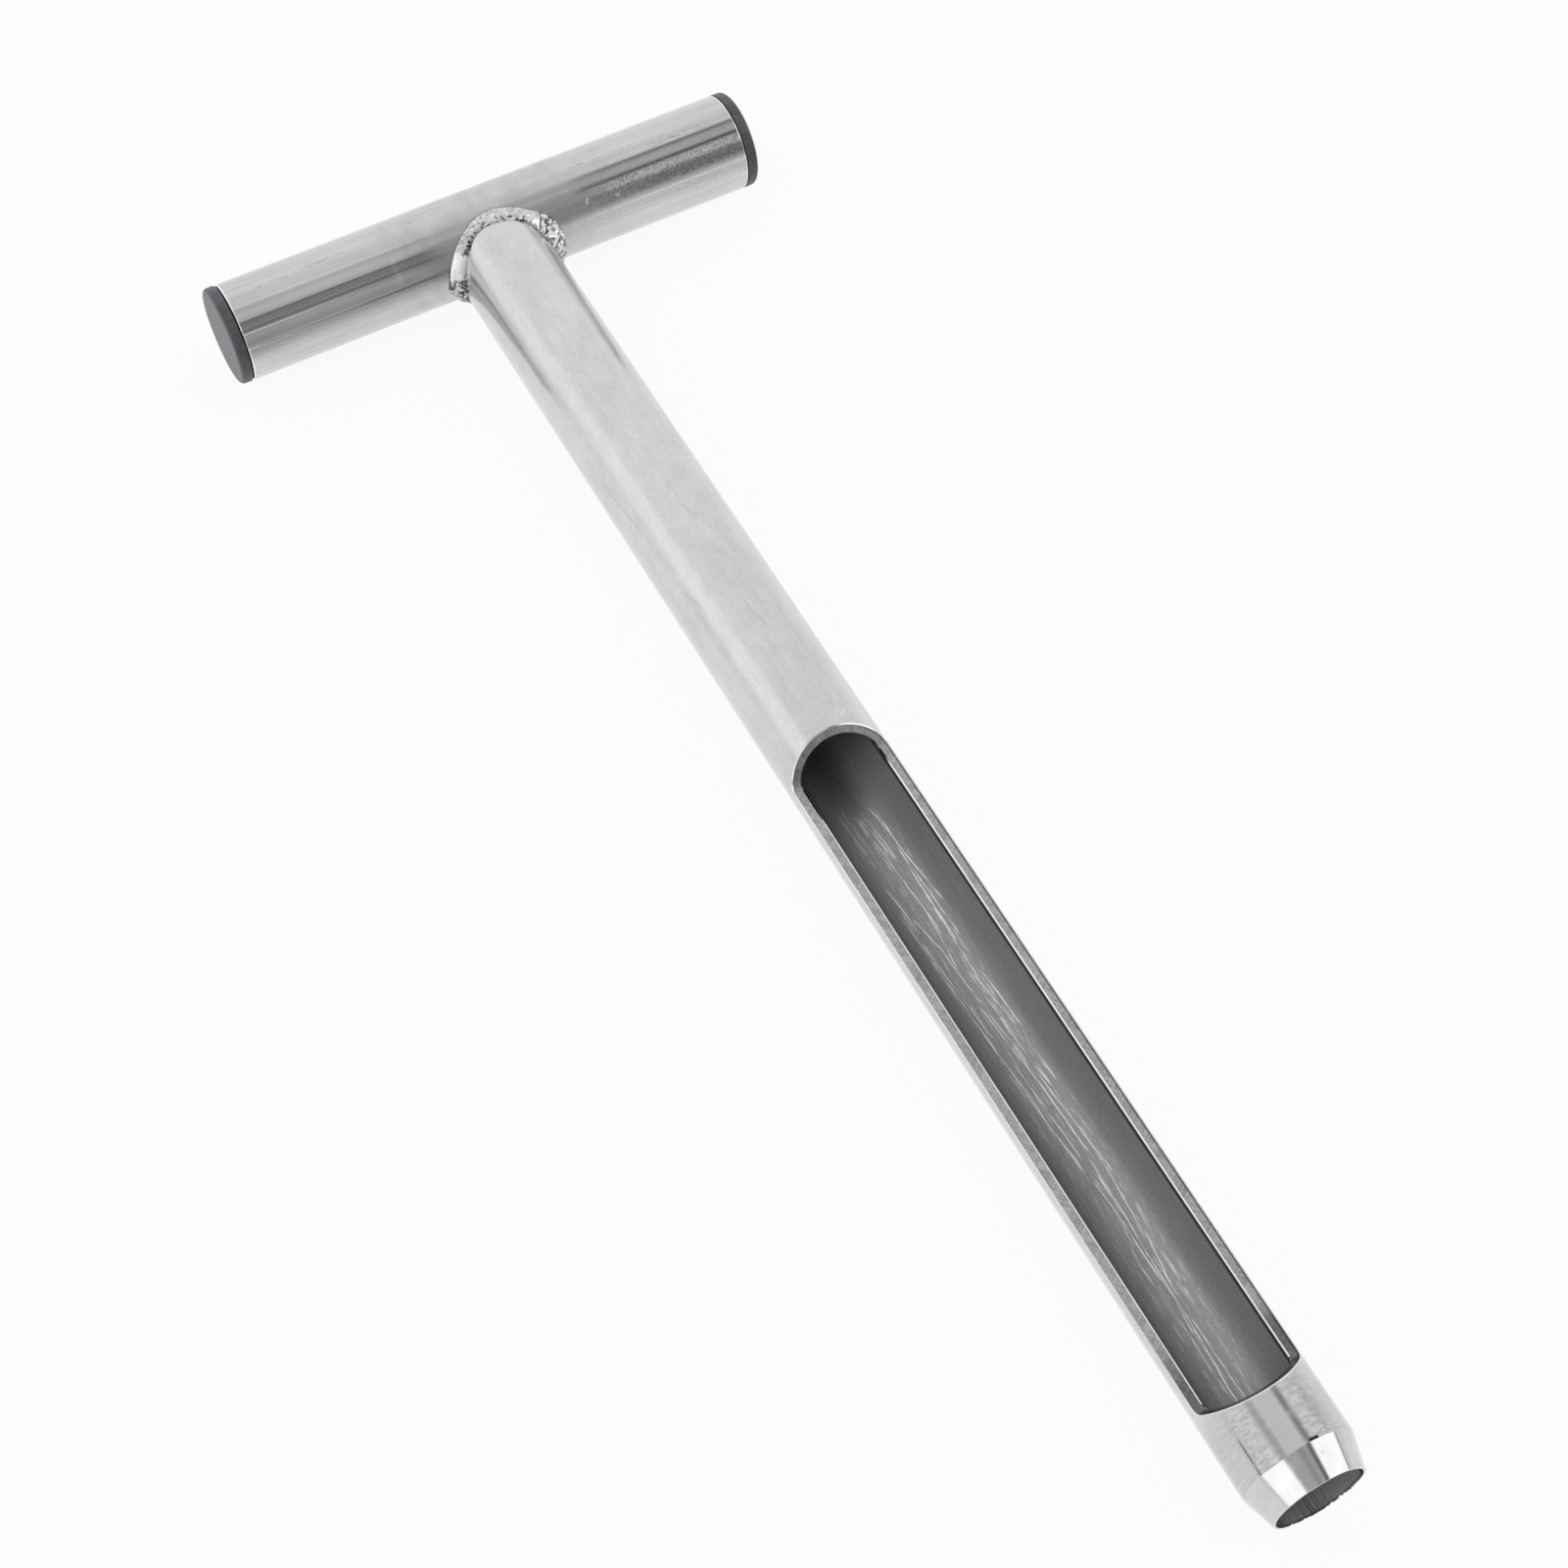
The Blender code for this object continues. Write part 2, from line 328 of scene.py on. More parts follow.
glow = blend(roomward, 1, dimmer)
reach = made("VectorMath", {0: spot}, "Value", operation="LENGTH")
share = seen * ease(reach, 0.2, FLOOR_HALF - 0.02, WHITE_SHARE, 1)
matt = made("BsdfDiffuse", {"Color": PAPER}, tree=tree)
white = made("Emission", {"Color": WHITE, "Strength": glow})
both = made("MixShader", {0: share, 1: matt, 2: white})
add_node("OutputMaterial", {"Surface": both})
floor_mesh.materials.append(paper)
print("floor side:", 2 * FLOOR_HALF, "m")

# %% [markdown]
# ## Patterns for steel
#
# The marks on drawn and ground steel run one way, so the noise that makes them is stretched
# along the tube. Patterns are read from the piece's own coordinates, moved to the joint, and
# turned with the window where they belong to it. Three numbers say how many times a pattern
# changes in a metre, across, along and up. A single mark, such as a chip, is placed by its
# distance along the tube and its angle round it.

# %% Helpers for patterns
SCRATCH_WIDTH = 0.12 * MM
NO_TINT = (1, 1, 1)


def new_finish(name, turn=0.0):
    """A material, and the place on its piece with its parts, from the joint and turned back."""
    finish = bpy.data.materials.new(name)
    place = made("TexCoord", {}, "Object", tree=empty_tree(finish))
    moved = made("VectorMath", {0: place, 1: tuple(JOINT)}, operation="SUBTRACT")
    place = made("VectorRotate", {"Vector": moved, "Angle": turn}, rotation_type="Y_AXIS")
    return finish, place, *parts_of(place)


def turned_flat(place, angle):
    """The place turned about the upright axis, for marks that run aslant."""
    return made("VectorRotate", {"Vector": place, "Angle": angle}, rotation_type="Z_AXIS")


def grain(place, rates, detail, rough, seed):
    """Noise that changes at these rates per metre along each direction."""
    stretched = made("VectorMath", {0: place, 1: rates}, operation="MULTIPLY")
    inputs = {"Vector": stretched, "Scale": 1, "Detail": detail, "W": seed, "Roughness": rough}
    return made("TexNoise", inputs, noise_dimensions="4D")


def marks(rows, x, turn, soft):
    """1 inside any row's rectangle: low and high along x, then from and to round the tube."""
    return greatest(*[patch((x, *row[:2], soft), (turn, *row[2:], 1)) for row in rows])


def reflection_stripes(rows, turn):
    """The strongest of several stripes; a row is low, high, softness and strength."""
    return greatest(*[between(turn, *row[:3]) * row[3] for row in rows])


def scratch(side, along, start, end, first, last):
    """A thin line from start to end that drifts from first to last; sizes in millimetres."""
    slope = (last - first) / (start - end)
    centre = along * slope + (first + slope * start) * MM
    width = SCRATCH_WIDTH * (1.25 if (start + end) % 3 == 0 else 0.85)
    line = ease(abs(side - centre), width * 0.6, width, 1, 0)
    return line * between(along, -end * MM, -start * MM, MM)


def coat_with(level, roughness, height, depth, metallic=1.0, tint=NO_TINT):
    """Ends a finish: its grey, roughness, share of metal, and relief with a depth in metres."""
    colour = made("CombineColor", {i: level * part for i, part in enumerate(tint)})
    relief = made("Bump", {"Height": height, "Distance": depth, "Strength": 1.0})
    inputs = {"Metallic": metallic, "Base Color": colour, "Roughness": roughness}
    shader = made("BsdfPrincipled", {**inputs, "Normal": relief})
    add_node("OutputMaterial", {"Surface": shader})
    print("finish nodes:", len(shader.socket.id_data.nodes))


# %% [markdown]
# ## Finish of the handle
#
# The handle is bright drawn tube. It mirrors the studio in long bands, softened by fine
# lengthwise lines. Groups of short dark dashes are pits that the drawing die pulled out. The
# welding heat left a smoky film round the joint, and handling left smudges.

# %% Handle steel: bright, with marks that run along the handle
DASH_GROUPS = (
    (-0.0535, -0.043, 91, 94), (-0.042, -0.033, 85, 91),
    (-0.0195, -0.011, 80, 86), (0.0185, 0.036, 91.5, 94),
    (0.024, 0.032, 75, 80), (0.041, 0.056, 101, 106),
)
NICKS = ((0.0214, 0.022, 135, 142), (0.0287, 0.0295, 142, 145))

HANDLE_STEEL, place, x, y, z = new_finish("handle_steel")
turn = degrees_round(z, y)
lines = grain(place, (12, 1100, 1100), 3, 0.6, 1)
hairs = grain(place, (60, 5200, 5200), 2, 0.5, 2)
clouds = grain(place, (45, 90, 90), 3, 0.55, 3)
speckle = grain(place, (2400, 2800, 2800), 2, 0.6, 7)
dash = grain(place, (520, 5200, 5200), 1, 0.5, 4)
dashes = ease(dash, 0.57, 0.63) * marks(DASH_GROUPS, x, turn, 0.0012)
nicks = marks(NICKS, x, turn, 0.0002)
smoke = grain(place, (260, 160, 160), 4, 0.65, 6)
smoke = ease(smoke, 0.35, 0.7) * ease(abs(x), 0.017, 0.036, 1, 0)
film = between(x, -0.016, 0.021, 0.003)
rub = patch((x, -0.0249, -0.0236, 0.0005), (turn, 121, 152, 4))
smudge = patch((x, -0.0205, -0.0125, 0.002), (turn, 134, 147, 3))
gritty = patch((x, 0.026, 0.07, 0.006), (turn, 124.5, 151, 2))
sparkle = ease(x, 0.014, 0.028, 0.3, 1) * ease(turn, 106, 122, 0.35, 1)
# Painted highlight: the filed ends of the tube are painted near white.
painted_end_highlight = ease(abs(x), HANDLE_HALF - 0.0004, HANDLE_HALF - 0.0002)

level = ease(clouds, 0.3, 0.7, 0.57, 0.62) + ease(lines, 0.2, 0.8, -0.05, 0.05)
level += ease(speckle, 0.3, 0.7, -0.07, 0.07) * (gritty * 2.6 + sparkle)
level = blend(rub * 0.5, level, 0.75)
level = blend(smudge * 0.35, level, 0.3)
level = blend(dashes, level, 0.24)
level = blend(smoke * 0.4, level, 0.42)
level = blend(nicks, level, 0.95)
level = blend(painted_end_highlight, level, 0.97)
roughness = ease(clouds, 0.35, 0.7, 0.05, 0.08) + ease(hairs, 0.3, 0.7, -0.01, 0.015)
roughness += smoke * 0.05
roughness += film * 0.14
relief = lines + hairs * 0.1 + speckle * sparkle * 1.2 + nicks * 8 - dashes * 2
coat_with(level, roughness, relief, 3.5e-06)

# %% [markdown]
# ## Finishes of the probe
#
# The outside of the probe was polished along its length after it was welded, so it is more
# satin than the handle and looks clouded. Below the window it was turned again, which left
# rings, and long dark stripes there are painted reflections of the studio. The window was
# milled: its cut faces are duller and keep the cutter's slanting marks.

# %% Satin outside, with hair cracks, and a turned lower end with painted dark reflections
HAIR_CRACKS = (
    (79.5, 101.5, -13, -10.4), (115, 121.5, -10.4, -8.5), (96, 102.5, -0.6, 0.6),
    (125.5, 133, -0.6, 0.4),
)
COLLAR_START = -0.3095
COLLAR_FULL = -0.315
CHIP_PLACE = -0.32405

SATIN_STEEL, place, x, y, z = new_finish("satin_steel")
turn = degrees_round(x, z)
lines = grain(place, (1300, 18, 1300), 3, 0.6, 11)
hairs = grain(place, (4800, 60, 4800), 2, 0.5, 12)
clouds = grain(place, (110, 60, 110), 4, 0.6, 13)
mottle = grain(place, (2400, 1900, 2400), 4, 0.7, 14)
swirls = grain(place, (330, 170, 330), 5, 0.65, 18)
rings = grain(place, (240, 3600, 240), 2, 0.6, 15)
spots = grain(place, (800, 2400, 800), 4, 0.7, 16)
ragged = grain(place, (300, 260, 300), 3, 0.6, 17)
arc = turn * math.radians(TUBE_RADIUS) + (swirls * 0.0012 - 0.0006)
cracks = greatest(*[scratch(arc, y, *row) for row in HAIR_CRACKS]) * ease(mottle, 0.42, 0.55)
scuff = patch((turn, 16, 36, 5), (y, -0.159, -0.1574, 0.0006)) * ease(mottle, 0.5, 0.6)
level = ease(clouds, 0.3, 0.7, 0.625, 0.675) + ease(lines, 0.2, 0.8, -0.02, 0.02)
level += ease(mottle, 0.3, 0.7, -0.045, 0.045)
level += ease(swirls, 0.3, 0.7, -0.03, 0.03)
level = blend(cracks * 0.8, level, 0.3)
level = blend(scuff, level, 0.85)

collar = ease(y, COLLAR_FULL, COLLAR_START, 1, 0)
ragged_turn = turn + ease(ragged, 0.2, 0.8, -9, 9)
mottled = greatest(between(ragged_turn, -50, -27, 5), between(ragged_turn, 3, 27, 5))
mottled = blend(mottled, 0.35, 1)
turned = ease(spots, 0.3, 0.7, -0.12, 0.12) * mottled + 0.58
turned += ease(rings, 0.25, 0.75, -0.05, 0.05)
# Dark lengthwise stripes on the collar, painted as reflections of the studio.
painted_reflection = greatest(
    reflection_stripes(((-1, 5, 3, 1), (-28, -21, 3, 0.55)), turn),
    patch((turn, -52.3, -50.3, 0.8), (y, -0.33, -0.3175, 0.001)),
    between(ragged_turn, 21, 28, 4) * 0.3,
)
painted_reflection *= ease(ragged, 0.3, 0.5, 0.5, 1)
turned = blend(painted_reflection, turned, 0.22)
turned = blend(between(turn, -20, -4, 2) * 0.7, turned, 0.56)
level = blend(collar, level, turned)
chip = patch((turn, 2.5, 12, 0.8), (y, CHIP_PLACE - 0.0004, CHIP_PLACE + 0.0003, 0.0001))
chip *= ease(spots, 0.3, 0.45)
level = blend(chip, level, 0.02)

roughness = ease(clouds, 0.35, 0.7, 0.2, 0.27) * ease(turn, -64, -52, 0.6, 1)
roughness = blend(collar, roughness, ease(spots, 0.3, 0.7, 0.14, 0.24))
relief = lines + hairs * 0.3 + mottle * 0.5
relief = blend(collar, relief, rings + spots * 1.5) - chip * 20
coat_with(level, roughness, relief, 6e-06, tint=(1, 1, 1.008))

# %% Ground cutting end, and the window's filed rims, with a painted highlight and painted shade
RIM_START = -0.3235
RIM_LEVEL = 0.9
LIP_REFLECTIONS = ((-2, 2, 1.5, 1), (28.5, 31.5, 1.2, 0.7), (-12, -2, 3, 0.5))

GROUND_STEEL, place, x, y, z = new_finish("ground_steel")
turn = degrees_round(x, z)
rings = grain(place, (60, 5000, 60), 2, 0.5, 21)
patches = grain(place, (260, 260, 260), 2, 0.5, 22)
streaks = grain(place, (1400, 60, 1400), 3, 0.6, 23)
specks = grain(place, (2600, 1800, 2600), 2, 0.6, 24)
level = ease(patches, 0.3, 0.7, 0.6, 0.66) + ease(streaks, 0.25, 0.75, -0.02, 0.02)
# Dark stripes on the ground end, painted as reflections of the studio.
level = blend(reflection_stripes(LIP_REFLECTIONS, turn), level, 0.27)
fleck = ease(specks, 0.52, 0.6) * patch((turn, 4.6, 9, 0.8), (y, -0.3267, -0.3262, 0.0002))
level = blend(fleck, level, 0.2)
from_axis = work_out("SQRT", x * x + z * z)
# The filed rims are bright, and painted brighter still as a highlight.
rim = ease(from_axis, 0.0098, 0.0102, RIM_LEVEL, RIM_LEVEL * 0.85)
late = y + ease(x, -0.004, 0.004, 0.003, 0)
straight = between(late, -0.3115, -0.1685, 0.001)
straight = greatest(straight, ease(from_axis, 0.0098, 0.0102))
# Painted shade: the rim of the bore is darkened at the window's arches.
rim *= blend(straight, 0.12, 1)
level = blend(ease(y, RIM_START, RIM_START + 0.001), level, rim)
roughness = ease(patches, 0.35, 0.7, 0.07, 0.13) + ease(specks, 0.4, 0.7, 0, 0.05)
relief = rings * 0.4 + patches + streaks * 0.5
coat_with(level, roughness, relief, 5e-06)

# %% Milled faces of the window, with two sets of slanting cutter marks
DARKENING_PLACE = -0.299
OUTER_EDGE = TUBE_RADIUS - 0.0005

MILLED_STEEL, place, x, y, z = new_finish("milled_steel", WINDOW_TURN)
first = grain(turned_flat(place, 0.95), (2600, 150, 300), 2, 0.5, 31)
second = grain(turned_flat(place, -0.7), (2400, 180, 300), 2, 0.5, 32)
blots = grain(place, (300, 200, 300), 3, 0.6, 33)
cuts = ease(first, 0.3, 0.7) + ease(second, 0.3, 0.7)
level = ease(blots, 0.3, 0.7, 0.35, 0.43) + ease(cuts, 0.4, 1.6, -0.07, 0.07)
# The milled faces grow darker towards the window's lower end.
level *= ease(y, DARKENING_PLACE - 0.005, DARKENING_PLACE + 0.004, 0.42, 1)
from_axis = work_out("SQRT", x * x + z * z)
# Painted shade: a dark line along the outer edge of the cut face on the right.
outer = ease(from_axis, OUTER_EDGE - 0.0001, OUTER_EDGE + 0.0001) * ease(x, 0.006, 0.009)
level *= blend(outer, 1, 0.4)
level *= ease(y, -0.1665, -0.1645, 1, 1.25)
roughness = ease(blots, 0.3, 0.7, 0.32, 0.42)
coat_with(level, roughness, cuts, 1e-05)

# %% [markdown]
# ## Finish of the bore
#
# Nobody polished the bore, so it is dark with scale. Stones in the cores left a bundle of
# long bright scratches along its bottom. Each is a thin line with its own start, end and
# drift. They share a slow wander and a quick jitter, so they look pushed by hand.

# %% Scratches in the bore, in millimetres: start and end along, then across
SCRATCHES = (
    (171, 200, -0.9, 0.7), (171, 182, -0.4, 0.9), (172, 183, 0.9, 1.2), (170, 181, 2.3, 3.1),
    (171, 180, 2.9, 3), (180, 195, 2.9, 4.4), (181, 203, 2.6, 3.4), (186, 204, 2.3, 2.3),
    (188, 199, -3.9, -3.1), (194, 218, -4.5, -3.3), (194, 225, -4, -2.3),
    (196, 204, -2.7, -1.2), (203, 218, -1.2, -0.4), (195, 209, 0.5, -0.5),
    (196, 213, 2.1, 1.8), (212, 225, 1.4, 2.6), (212, 226, 3, 3.6), (211, 231, 0.8, 1.5),
    (219, 240, -3.5, -2.6), (240, 257, -2.7, -1.4), (219, 232, -0.9, -0.3),
    (221, 233, -0.3, 0.8), (229, 254, 0.1, 1.1), (232, 239, 3.4, 3.5), (233, 255, -1.7, -0.4),
    (235, 239, 1.7, 2), (236, 260, 1.2, 2.7), (256, 273, 2.2, 1.3), (259, 289, 0.2, -0.3),
    (260, 285, -1.1, -0.4), (273, 285, 1.7, 0.4), (287, 293, -0.5, -1.1),
    (291, 308, 0.1, 0.5), (289, 308, -0.3, -1.1), (294, 305, -1.9, -2),
)

BORE_STEEL, place, across, along, height = new_finish("bore_steel", WINDOW_TURN)
wander = grain(place, (260, 60, 260), 2, 0.5, 41)
jitter = grain(place, (1100, 340, 1100), 1, 0.5, 42)
side = across + (wander * 0.0011 - 0.00055) + (jitter * 0.00026 - 0.00013)
scratches = greatest(*[scratch(side, along, *row) for row in SCRATCHES])
breaks = grain(place, (1500, 260, 1500), 2, 0.6, 43)
scratches *= ease(breaks, 0.3, 0.55, 0.25, 1)
below = ease(height, -0.001, -0.004)
scratches *= below
haze = patch((across, -0.0042, 0.0042, 0.0014), (along, -0.31, -0.168, 0.004)) * below
webs = []
for slant, seed in ((0.022, 47), (-0.03, 48)):
    web = grain(turned_flat(place, slant), (1500, 16, 300), 2, 0.6, seed)
    webs.append(ease(abs(web - 0.5), 0, 0.022, 1, 0))
web = greatest(*webs) * ease(breaks, 0.4, 0.6) * haze * 0.45
print("scratches:", len(SCRATCHES))

# %% Bore steel: dark, with those scratches
film = grain(place, (160, 40, 160), 4, 0.6, 44)
streaks = grain(place, (1500, 22, 1500), 3, 0.6, 45)
dust = grain(place, (2200, 2200, 2200), 2, 0.6, 46)
fine = grain(place, (3400, 30, 3400), 2, 0.6, 49)
level = ease(across, -0.003, 0.005, 0.28, 0.345) + ease(film, 0.3, 0.7, -0.02, 0.02)
level += ease(streaks, 0.3, 0.7, -0.01, 0.012)
level += ease(dust, 0.3, 0.7, -0.035, 0.035)
level = level + haze * 0.09 + web
# Painted shade: dark below the right land, and a darker strip beside the left land.
right_wall_shade = ease(across, 0.006, 0.008) * 0.85 * ease(height, -0.0021, -0.0013)
left_wall_shade = ease(across, -0.0055, -0.0074) * 0.45
# Under the tube's closed top: painted shade on the left, painted light on the right.
top_shade_and_light = ease(across, -0.001, 0.005, 0.72, 1.3)
level *= ease(along, -0.18, -0.164, 1, top_shade_and_light)
mouth = ease(along, -0.3235, -0.3205, 1, 0) * between(across, -0.004, 0.003, 0.0015)
level += ease(fine, 0.35, 0.6, -0.14, 0.05) * mouth
# Painted shade: a dark line round the very edge of the mouth.
level *= ease(along, -PROBE_REACH + 0.0001, -PROBE_REACH + 0.0008, 0.3, 1)
level *= 1 - right_wall_shade
level *= 1 - left_wall_shade
level = blend(scratches, level, 1)
roughness = blend(scratches, 0.5, 0.35)
coat_with(level, roughness, streaks * 0.5 - scratches, 8e-06, metallic=0.45)

# %% [markdown]
# ## Finish of the weld
#
# The bead cooled without cleaning. Its top is grainy grey with dark pits of burnt scale, and
# both shoulders are lighter and shine where the molten steel ran smooth; the smooth left one
# is painted white as a highlight. The creases between the drops are dark with scale and
# painted shade, and a painted shade lines the edge on the handle. The bead's own marks say
# where that is.

# %% Weld steel: a cast skin with pits, dark creases and shiny shoulders
WELD_STEEL, place, x, _, z = new_finish("weld_steel")
crease, across = [
    made("Attribute", {}, "Fac", tree=place.socket.id_data, attribute_name=name)
    for name in ("crease", "across")
]
skin = grain(place, (1100, 1100, 1100), 4, 0.65, 51)
pits = grain(place, (1500, 1500, 1500), 1, 0.5, 52)
ragged = grain(place, (420, 420, 420), 3, 0.6, 53)
turn = degrees_round(x, z) + (ragged * 56 - 28)
smooth = between(turn, -78, -50, 2.5)
shiny = greatest(smooth, between(turn, 37, 150, 4))
blob = patch((turn, -49, -42, 1.5), (across, -0.1, 0.3, 0.08))
near_probe = ease(across, 0.45, 0.1)
pit_share = blend(near_probe, ease(pits, 0.66, 0.7), ease(pits, 0.54, 0.6))
pit_share *= blend(shiny, 1, 0.05)
# Painted shade: the edge of the bead on the handle, where a crevice would be.
dark = greatest(pit_share, ease(across, 0.89, 0.95) * 0.9, crease)
level = blend(shiny, ease(skin, 0.3, 0.7, 0.4, 0.84), ease(skin, 0.3, 0.7, 0.66, 0.86))
level *= ease(turn, 70, 95, 1, 0.55)
# Painted highlight: the smooth left shoulder is painted white.
level = blend(smooth, level, 1)
level = blend(blob * 0.8, level, 0.16)
level = blend(dark, level, 0.04)
roughness = blend(smooth, blend(shiny, 0.38, 0.13), 0.25)
relief = (skin - pit_share * 1.5) * blend(shiny, 1, 0.25)
coat_with(level, roughness, relief, 0.0001, metallic=blend(smooth, 1, 0.25))

# %% [markdown]
# ## Finish of the plugs
#
# The plugs are moulded from dark grey plastic. The mould left a fine even grain, and
# painted light makes the flat faces lighter than the rims.

# %% Plug plastic
PLUG_PLASTIC, place, x, *_ = new_finish("plug_plastic")
mould = grain(place, (3200, 3200, 3200), 2, 0.5, 61)
scuffs = grain(place, (300, 900, 300), 3, 0.6, 62)
# Painted light: the flat face is painted lighter than the rim.
face = ease(abs(x), HANDLE_HALF + PLUG_REACH - 0.0004, plug_high.x)
level = ease(scuffs, 0.35, 0.7, 0.065, 0.105) * blend(face, 1, 1.6)
roughness = ease(scuffs, 0.35, 0.7, 0.4, 0.52)
coat_with(level, roughness, mould, 2e-05, metallic=0.0, tint=(0.98, 1, 1.1))

# %% [markdown]
# ## Helpers for meshes
#
# A mesh is worked out round the joint, welded from strips of quads and moved to its place. A
# Geometry Nodes tree runs on an object, and its result becomes a plain mesh. The kind of each
# input follows from its value.

# %% Helpers for meshes and shape trees
MERGE_DISTANCE = 1e-7
INPUT_KINDS = {float: "Float", int: "Int", Vector: "Vector", bpy.types.Material: "Material"}


def mesh_from(name, shape):
    """A mesh worked out round the joint, welded and moved to its place."""
    bmesh.ops.remove_doubles(shape, verts=shape.verts, dist=MERGE_DISTANCE)
    bmesh.ops.recalc_face_normals(shape, faces=shape.faces)
    bmesh.ops.translate(shape, verts=shape.verts, vec=JOINT)
    data = bpy.data.meshes.new(name)
    shape.to_mesh(data)
    shape.free()
    return data


def join_rings(shape, first, second, finish=0, keep=None):
    """Quads between two rings of points; keep says which columns get one."""
    verts = [[shape.verts.new(point) for point in points] for points in (first, second)]
    count = len(first)
    for i in range(count):
        j = (i + 1) % count
        if keep is None or keep(i, j):
            face = shape.faces.new((verts[0][i], verts[0][j], verts[1][j], verts[1][i]))
            face.material_index = finish


def new_shape_tree(name, sizes):
    """A Geometry Nodes tree with one input for each size, and those inputs as signals."""
    tree = bpy.data.node_groups.new(name, "GeometryNodeTree")
    face = tree.interface
    face.new_socket("Geometry", in_out="INPUT", socket_type="NodeSocketGeometry")
    face.new_socket("Geometry", in_out="OUTPUT", socket_type="NodeSocketGeometry")
    for size, value in sizes.items():
        kind = INPUT_KINDS[type(value)]
        face.new_socket(size, in_out="INPUT", socket_type="NodeSocket" + kind)
    outputs = tree.nodes.new("NodeGroupInput").outputs
    return tree, {output.name: Signal(output) for output in outputs}


def end_tree(geometry, crease, finish):
    """Ends a tree: smooth but for edges that turn more than the crease, real, one finish."""
    tree = geometry.socket.id_data
    smooth = made("GeometryNodeSetShadeSmooth", {0: geometry}, domain="FACE")
    turn = made("GeometryNodeInputMeshEdgeAngle", {}, tree=tree)
    is_sharp = made("FunctionNodeCompare", {0: turn, 1: crease}, operation="GREATER_THAN")
    inputs = {0: smooth, "Selection": is_sharp, "Shade Smooth": False}
    creased = made("GeometryNodeSetShadeSmooth", inputs, domain="EDGE")
    real = made("GeometryNodeRealizeInstances", {0: creased})
    painted = made("GeometryNodeSetMaterial", {0: real, "Material": finish})
    add_node("NodeGroupOutput", {0: painted})


def grow(name, tree, sizes, start=None):
    """A plain piece: what a tree makes with these sizes."""
    obj = new_object(name, start or bpy.data.meshes.new(name))
    modifier = obj.modifiers.new(name, "NODES")
    modifier.node_group = tree
    for item in tree.interface.items_tree:
        if item.in_out == "INPUT" and item.name in sizes:
            modifier[item.identifier] = sizes[item.name]
    view = bpy.context.evaluated_depsgraph_get()
    data = bpy.data.meshes.new_from_object(obj.evaluated_get(view), depsgraph=view)
    obj.modifiers.remove(modifier)
    obj.data = data
    data.name = name
    print(name, "faces:", len(data.polygons))
    return obj


# %% [markdown]
# ## Handle tube
#
# The handle is a plain length of tube, sawn square and lightly filed at the ends. Its shape
# follows one rule: a long thin rectangle, the cut through the wall, is swept round a circle.
# Geometry Nodes suit that, and its sizes are their inputs.

# %% The handle tube as a node tree
QUARTER_TURN = math.radians(90)
TUBE_SIZES = {
    "Outer Radius": TUBE_RADIUS,
    "Bore Radius": BORE_RADIUS,
    "Length": 2 * HANDLE_HALF,
    "Edge Break": 0.25 * MM,
    "Steps Round": 256,
    "Place": JOINT,
    "Finish": HANDLE_STEEL,
}
tree, size = new_shape_tree("round_tube", TUBE_SIZES)
wall = size["Outer Radius"] - size["Bore Radius"]
middle = (size["Outer Radius"] + size["Bore Radius"]) * 0.5
inputs = {"Resolution": size["Steps Round"], "Radius": middle}
circle = made("GeometryNodeCurvePrimitiveCircle", inputs)
cut = made("GeometryNodeCurvePrimitiveQuadrilateral", {"Width": wall, "Height": size["Length"]})
inputs = {0: cut, "Radius": size["Edge Break"], "Count": 3, "Limit Radius": True}
filed = made("GeometryNodeFilletCurve", inputs, mode="POLY")
swept = made("GeometryNodeCurveToMesh", {0: circle, 1: filed})
inputs = {0: swept, "Rotation": (0, QUARTER_TURN, 0), "Translation": size["Place"]}
laid = made("GeometryNodeTransform", inputs)
end_tree(laid, math.radians(8), size["Finish"])
pieces = {"handle_tube": grow("handle_tube_steel", tree, TUBE_SIZES)}

# %% [markdown]
# ## Probe tube: the rim of the window
#
# A cutter left a long window: a flat floor with a steep ramp at each end. Where a ramp meets
# the round tube, the rim is an arch, and the mesh follows it exactly to keep its bright edge
# crisp. One formula with two radii gives the rims of the outside and the bore, and a spread
# widens them where a file broke the edge.

# %% The half rim: a roll about the axis, and a depth into the window
WINDOW_START = 0.1607
WINDOW_TO_LIP = 0.0175
WINDOW_FLOOR = 0.0032
RAMP = math.radians(62)
FOOT_RADIUS = 0.0025
OUTER_BREAK = 0.00015
INNER_BREAK = 0.0002
INNER_LEDGE = 0.0003
ARCH_STEPS = 44
FOOT_STEPS = 10
BACK_STEPS = 62

RAMP_DEPTH = (TUBE_RADIUS - WINDOW_FLOOR) / math.tan(RAMP)
FOOT_DEPTH = RAMP_DEPTH + FOOT_RADIUS / math.tan((math.pi - RAMP) / 2)


def half_rim(radius, spread):
    """Points from the top of the arch to its foot, as (roll, depth) on this radius."""
    foot = FOOT_RADIUS + spread
    centre = WINDOW_FLOOR + FOOT_RADIUS
    ramp_end = centre - foot * math.cos(RAMP)
    last_roll = math.acos(ramp_end / radius)
    points = []
    for step in range(ARCH_STEPS):
        turn = last_roll * step / ARCH_STEPS
        height = radius * math.cos(turn)
        depth = (TUBE_RADIUS - height) / math.tan(RAMP) - spread / math.sin(RAMP)
        points.append((turn, depth))
    for step in range(FOOT_STEPS + 1):
        bend = RAMP * (1 - step / FOOT_STEPS)
        height = centre - foot * math.cos(bend)
        points.append((math.acos(height / radius), FOOT_DEPTH - foot * math.sin(bend)))
    return points


print("points in half a rim:", len(half_rim(TUBE_RADIUS, OUTER_BREAK)))

